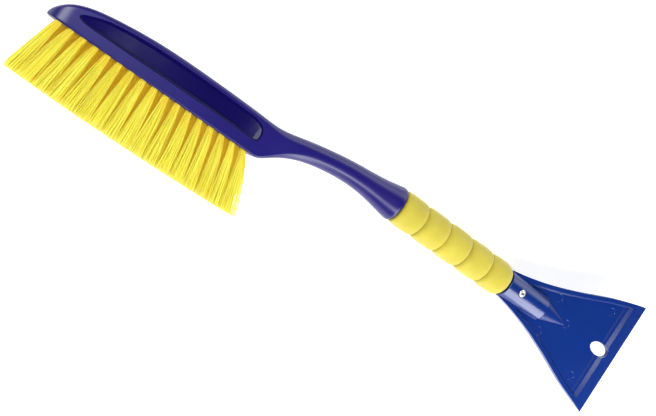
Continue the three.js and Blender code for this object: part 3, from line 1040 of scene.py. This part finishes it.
def blade_plate(sizes):
    """The plate, drawn flat with its scraping edge along X = 0 and its underside at Z = 0."""
    count = len(PLATE_COLUMNS)
    plate = start_mesh(
        "scraper_plate", bpy.ops.mesh.primitive_grid_add, x_subdivisions=count - 1,
        y_subdivisions=1, size=1, location=(0, 0, 0))
    for index, (distance, half) in enumerate(PLATE_COLUMNS):
        place = 0.5 - index / (count - 1)
        pick(plate, "VERT", lambda vertex: abs(vertex.co.x - place) < 1e-4 and vertex.co.z < 0.5)
        bpy.ops.transform.resize(value=(1, 2 * half * MM, 1), center_override=(0, 0, 0))
        bpy.ops.transform.translate(value=(-distance * MM - place, 0, 1))
    bpy.ops.mesh.select_all(action="SELECT")
    bpy.ops.transform.translate(value=(0, 0, -1))
    bpy.ops.mesh.extrude_region_move(
        TRANSFORM_OT_translate={"value": (0, 0, sizes.rim_height)})
    bpy.ops.mesh.select_all(action="SELECT")
    bpy.ops.mesh.normals_make_consistent(inside=False)
    top = sizes.rim_height
    # the panel's walls step in from the rim, and from the ridge close behind the bevel
    pick(plate, "FACE", lambda face: face.normal.z > 0.9
         and -112 * MM < middle(face).x < -sizes.bevel_length)
    bpy.ops.mesh.inset(thickness=sizes.rim_width)
    shift_row(plate, -sizes.bevel_length - sizes.rim_width, top, sizes.rim_width - 0.5 * MM)
    bpy.ops.mesh.inset(thickness=0.9 * MM)
    bpy.ops.transform.translate(value=(0, 0, LAND_HEIGHT - top))
    shift_row(plate, -sizes.bevel_length - 1.4 * MM, LAND_HEIGHT, -2.6 * MM)
    bpy.ops.mesh.inset(thickness=0.25 * MM)
    bpy.ops.mesh.inset(thickness=0.25 * MM)
    bpy.ops.transform.translate(value=(0, 0, sizes.panel_height - LAND_HEIGHT))
    shift_row(plate, -sizes.bevel_length - 4.25 * MM, LAND_HEIGHT, -2.2 * MM)
    shift_row(plate, -sizes.bevel_length - 4.5 * MM, sizes.panel_height, -3.4 * MM)
    # the front slope down to the scraping edge
    pick(plate, "VERT", lambda vertex: vertex.co.x > -1e-5 and vertex.co.z > 1e-5)
    bpy.ops.transform.translate(value=(0, 0, sizes.edge_thickness - top))
    pick(plate, "EDGE", lambda edge: turn(edge) > math.radians(14))
    bpy.ops.mesh.bevel(offset=0.45 * MM, segments=3, affect="EDGES", clamp_overlap=True)
    close_editing()
    return plate


def hanging_hole(sizes):
    centre = Vector((-HOLE_BACK * MM, 0, sizes.rim_height / 2))
    hole = start_mesh(
        "hanging_hole", bpy.ops.mesh.primitive_cylinder_add, vertices=64, radius=MM,
        depth=20 * MM, location=centre)
    bpy.ops.transform.resize(
        value=(HOLE_HALF_LENGTH, HOLE_HALF_WIDTH, 1), center_override=centre)
    close_editing()
    return hole


def lay_on_axis(piece, tilt):
    """Tilts a piece drawn flat and brings its scraping edge to its place in the scene."""
    move = Matrix.Translation(at(PLATE_EDGE_X, 0, PLATE_EDGE_Z))
    piece.data.transform(move @ Matrix.Rotation(-tilt, 4, "Y"))


def panel_height_at(x, sizes):
    """Height over the handle's axis of the panel's face at a place along the handle, in mm."""
    return (PLATE_EDGE_Z + sizes.panel_height / MM
            - (PLATE_EDGE_X - x) * math.tan(sizes.tilt))


def fairing(sizes):
    """A low half cone that runs out on the panel in front of the socket."""
    start_x, end_x = SOCKET_END - 2, SOCKET_END + FAIRING_LENGTH
    base = panel_height_at(start_x, sizes)
    point = panel_height_at(end_x, sizes)
    roof = bar("fairing", at(start_x, 0, base), at(end_x, 0, base), MM, 0.03 * MM, 64)
    open_for_editing(roof)
    for x, half_width, height, level in (
        (start_x, FAIRING_HALF_WIDTH, FAIRING_RIDGE - base, base), (end_x, 24, 24, point),
    ):
        place = at(x, 0, base)
        pick(roof, "VERT", lambda vertex: abs(vertex.co.x - place.x) < 1e-6)
        bpy.ops.transform.resize(value=(1, half_width, height), center_override=place)
        bpy.ops.transform.translate(value=(0, 0, (level - base) * MM))
    bpy.ops.mesh.select_all(action="SELECT")
    slope = Vector((-math.sin(sizes.tilt), 0, math.cos(sizes.tilt)))
    bpy.ops.mesh.bisect(
        plane_co=at(start_x, 0, base - 1), plane_no=slope, clear_inner=True, use_fill=True)
    close_editing()
    tidy_mesh(roof)
    return roof


def socket():
    tube = bar("socket", at(SOCKET_START, 0), at(SOCKET_END, 0),
               SOCKET_RADIUS * MM, SOCKET_END_RADIUS * MM, 96)
    open_for_editing(tube)
    pick(tube, "EDGE", lambda edge: turn(edge) > math.radians(45))
    bpy.ops.mesh.bevel(offset=0.7 * MM, segments=3, affect="EDGES", clamp_overlap=True)
    close_editing()
    return tube


class SNOWBRUSH_OT_scraper(bpy.types.Operator):
    """Model the blade plate, its rims, ridge, bevel and hole, and the socket that it grows from"""

    bl_idname = "snowbrush.scraper"
    bl_label = "Scraper"

    def execute(self, context):
        sizes = context.scene.snowbrush_scraper
        plate = blade_plate(sizes)
        for distance, y in EJECTOR_MARKS:
            foot = Vector((-distance * MM, y * MM, sizes.panel_height - EJECTOR_DEPTH * MM))
            wide = EJECTOR_RADIUS + EJECTOR_SLOPE
            cut(plate, bar("ejector_mark", foot, foot + Vector((0, 0, 2 * EJECTOR_DEPTH * MM)),
                           EJECTOR_RADIUS * MM, (wide + EJECTOR_SLOPE) * MM, 48))
        cut(plate, hanging_hole(sizes))
        open_for_editing(plate)
        centre = Vector((-HOLE_BACK * MM, 0, 0))
        pick(plate, "EDGE", lambda edge: turn(edge) > math.radians(40)
             and abs(middle(edge).y) < (HOLE_HALF_WIDTH + 0.2) * MM
             and abs(middle(edge).x - centre.x) < (HOLE_HALF_LENGTH + 0.2) * MM)
        bpy.ops.mesh.bevel(offset=0.6 * MM, segments=3, affect="EDGES", clamp_overlap=True)
        close_editing()
        lay_on_axis(plate, sizes.tilt)
        cut(plate, fairing(sizes), "UNION")
        cut(plate, socket(), "UNION")
        bore = bar("bore", at(SOCKET_START - 12, 0), at(STEM_END + 0.3, 0),
                   SOCKET_BORE * MM, SOCKET_BORE * MM, 96)
        cut(plate, bore)
        rivet_x = ((RIVET_BOX[0][0] + RIVET_BOX[1][0]) / 2 - AXIS.x) / MM
        cut(plate, bar("rivet_hole", at(rivet_x, 0, 0), at(rivet_x, 0, 14),
                       2.3 * MM, 2.3 * MM, 24))
        cut(plate, bar("rivet_seat", at(rivet_x, 0, 11.6), at(rivet_x, 0, 16),
                       3.5 * MM, 3.9 * MM, 40))
        plate.name = "scraper_moulding"
        smooth(plate, 34)
        give(plate, scraper_plastic(context.scene.snowbrush_colours), "scraper_plastic", "scraper")
        return {"FINISHED"}


# ---------------------------------------------------------------- rivet


class SNOWBRUSH_OT_rivet(bpy.types.Operator):
    """Turn the blind rivet and the stub of its mandrel"""

    bl_idname = "snowbrush.rivet"
    bl_label = "Rivet"

    def execute(self, context):
        centre = Vector(((RIVET_BOX[0][0] + RIVET_BOX[1][0]) / 2, AXIS.y, AXIS.z))
        up = Vector((0, 0, 1))
        profile = [
            (3.4, 1.1), (3.4, 1.7), (3.7, 2.0), (4.1, 2.5), (4.9, 2.7), (5.5, 2.5), (5.9, 2.0),
            (6.3, 2.0), (11.9, 2.0), (11.9, 2.9), (11.98, 3.05), (12.15, 3.1), (12.4, 3.02),
            (12.7, 2.7), (12.92, 2.2), (13.0, 1.7), (12.98, 1.35), (12.85, 1.15), (12.6, 1.1),
            (3.4, 1.1),
        ]
        body = lathe(
            "rivet_shell", [(along * MM, radius * MM) for along, radius in profile],
            centre, up, 48)
        smooth(body, 35)
        colours = context.scene.snowbrush_colours
        give(body, bright_metal("rivet_aluminium", colours.metal, 0.38, 0.9), "rivet_aluminium",
             "rivet_body")
        stub = [
            (1.3, 0.0), (1.4, 1.2), (1.7, 1.6), (2.4, 1.8), (2.8, 1.75), (3.05, 1.3), (3.1, 0.8),
            (12.2, 0.8), (12.35, 0.72), (12.42, 0.5), (12.36, 0.0),
        ]
        mandrel = lathe(
            "rivet_mandrel_stub", [(along * MM, radius * MM) for along, radius in stub],
            centre, up, 32)
        smooth(mandrel, 35)
        give(mandrel, bright_metal("rivet_steel", (0.36, 0.36, 0.37), 0.42), "rivet_steel",
             "rivet_mandrel")
        return {"FINISHED"}


# ---------------------------------------------------------------- stage


def soft_light(name, place, aim, size, long_side, radiance):
    """A soft box at one place that looks at another, its second side laid along long_side."""
    light = bpy.data.lights.new(name, "AREA")
    light.shape = "RECTANGLE"
    light.size, light.size_y = size
    light.energy = radiance * math.pi * size[0] * size[1]
    lamp = bpy.data.objects.new(name, light)
    bpy.context.collection.objects.link(lamp)
    back = (at(*place) - at(*aim)).normalized()
    side = Vector(long_side).cross(back).normalized()
    lamp.location = at(*place)
    lamp.rotation_euler = Matrix((side, back.cross(side), back)).transposed().to_euler()
    lamp.visible_camera = False
    return lamp


def light_only(lamp, prefix):
    """Keeps a light to the pieces whose names start with prefix, and lets none of them block it."""
    lit = bpy.data.collections.new(f"{prefix}lit")
    blocking = bpy.data.collections.new(f"{prefix}blocking")
    for piece in bpy.context.scene.objects:
        if piece.name.startswith(prefix):
            lit.objects.link(piece)
        elif piece.name == "brush_body_moulding":
            blocking.objects.link(piece)
    lamp.light_linking.receiver_collection = lit
    lamp.light_linking.blocker_collection = blocking


class SNOWBRUSH_OT_stage(bpy.types.Operator):
    """Lay a pale floor, set the soft lights and place the camera"""

    bl_idname = "snowbrush.stage"
    bl_label = "Stage"

    def execute(self, context):
        floor = start_mesh(
            "floor", bpy.ops.mesh.primitive_plane_add, size=8, location=(0, 0, -0.0002))
        bpy.ops.mesh.subdivide(number_cuts=2)
        close_editing()
        finish = Finish("floor_paper")
        tone = finish.noise(6, 2, 0.5)
        finish.join(
            finish.blend(tone, (0.93, 0.93, 0.93), (0.96, 0.96, 0.96)),
            finish.surface.inputs["Base Color"])
        finish.set(Roughness=0.9, Emission_Color=(1, 1, 1, 1), Emission_Strength=0.35)
        floor.data.materials.append(finish.material)

        soft_light("key_soft_box", (938, -880, 640), (143, 0, 12), (0.5, 1.36),
                   (0, -0.565, -0.825), 9.5)
        soft_light("nose_soft_box", (-1120, 90, 1010), (-200, -20, 0), (0.55, 0.75),
                   (0.68, 0, 0.73), 11)
        soft_light("back_soft_box", (500, 1250, 600), (140, 0, 0), (1.7, 0.9), (0, 0, 1), 2.6)
        soft_light("front_soft_box", (330, -930, 1090), (-60, -20, 0), (0.35, 1.0), (1, 0, 0), 11)
        soft_light("overhead_soft_box", (-340, 120, 1374), (-100, -20, 0), (0.16, 0.18),
                   (1, 0, 0), 11)
        glow = soft_light("bristle_glow_box", (-260, -500, 1400), (-200, -60, 0), (1.0, 1.0),
                          (0, 1, 0), 2.6)
        light_only(glow, "bristles_")

        world = bpy.data.worlds.new("studio")
        world.use_nodes = True
        world.node_tree.nodes["Background"].inputs["Color"].default_value = (0.80, 0.82, 0.86, 1)
        world.node_tree.nodes["Background"].inputs["Strength"].default_value = 0.045
        context.scene.world = world
        context.scene.view_settings.view_transform = "Standard"

        lens = bpy.data.cameras.new("camera")
        lens.sensor_width = 36
        lens.lens = 43.9
        lens.clip_start = 0.01
        lens.clip_end = 20
        camera = bpy.data.objects.new("camera", lens)
        context.collection.objects.link(camera)
        camera.location = at(-239.0, -66.46, 600.43)
        camera.rotation_euler = tuple(math.radians(a) for a in (-7.775, -16.270, 35.523))
        context.scene.camera = camera
        return {"FINISHED"}


# ---------------------------------------------------------------- panel and registration

STEPS = (
    SNOWBRUSH_OT_body, SNOWBRUSH_OT_tufts, SNOWBRUSH_OT_anchors, SNOWBRUSH_OT_grip,
    SNOWBRUSH_OT_scraper, SNOWBRUSH_OT_rivet, SNOWBRUSH_OT_stage,
)
SETTINGS = (
    ("snowbrush_body", BrushSizes), ("snowbrush_tufts", TuftSizes), ("snowbrush_grip", GripSizes),
    ("snowbrush_scraper", ScraperSizes), ("snowbrush_colours", FinishColours),
)


class SNOWBRUSH_PT_panel(bpy.types.Panel):
    """Lists the pieces and the sizes and colours that they are made with"""

    bl_idname = "SNOWBRUSH_PT_panel"
    bl_label = "Snow Brush"
    bl_space_type = "VIEW_3D"
    bl_region_type = "UI"
    bl_category = "Snow Brush"

    def draw(self, context):
        layout = self.layout
        for name, group in SETTINGS:
            box = layout.box()
            for field in group.__annotations__:
                box.prop(getattr(context.scene, name), field)
        for step in STEPS:
            layout.operator(step.bl_idname)


def register():
    for name, group in SETTINGS:
        bpy.utils.register_class(group)
        setattr(bpy.types.Scene, name, PointerProperty(type=group))
    for made in (*STEPS, SNOWBRUSH_PT_panel):
        bpy.utils.register_class(made)


def unregister():
    for made in reversed((*STEPS, SNOWBRUSH_PT_panel)):
        bpy.utils.unregister_class(made)
    for name, group in reversed(SETTINGS):
        delattr(bpy.types.Scene, name)
        bpy.utils.unregister_class(group)


def main():
    register()
    for step in STEPS:
        group, name = step.bl_idname.split(".")
        getattr(getattr(bpy.ops, group), name)()


if __name__ == "__main__":
    main()
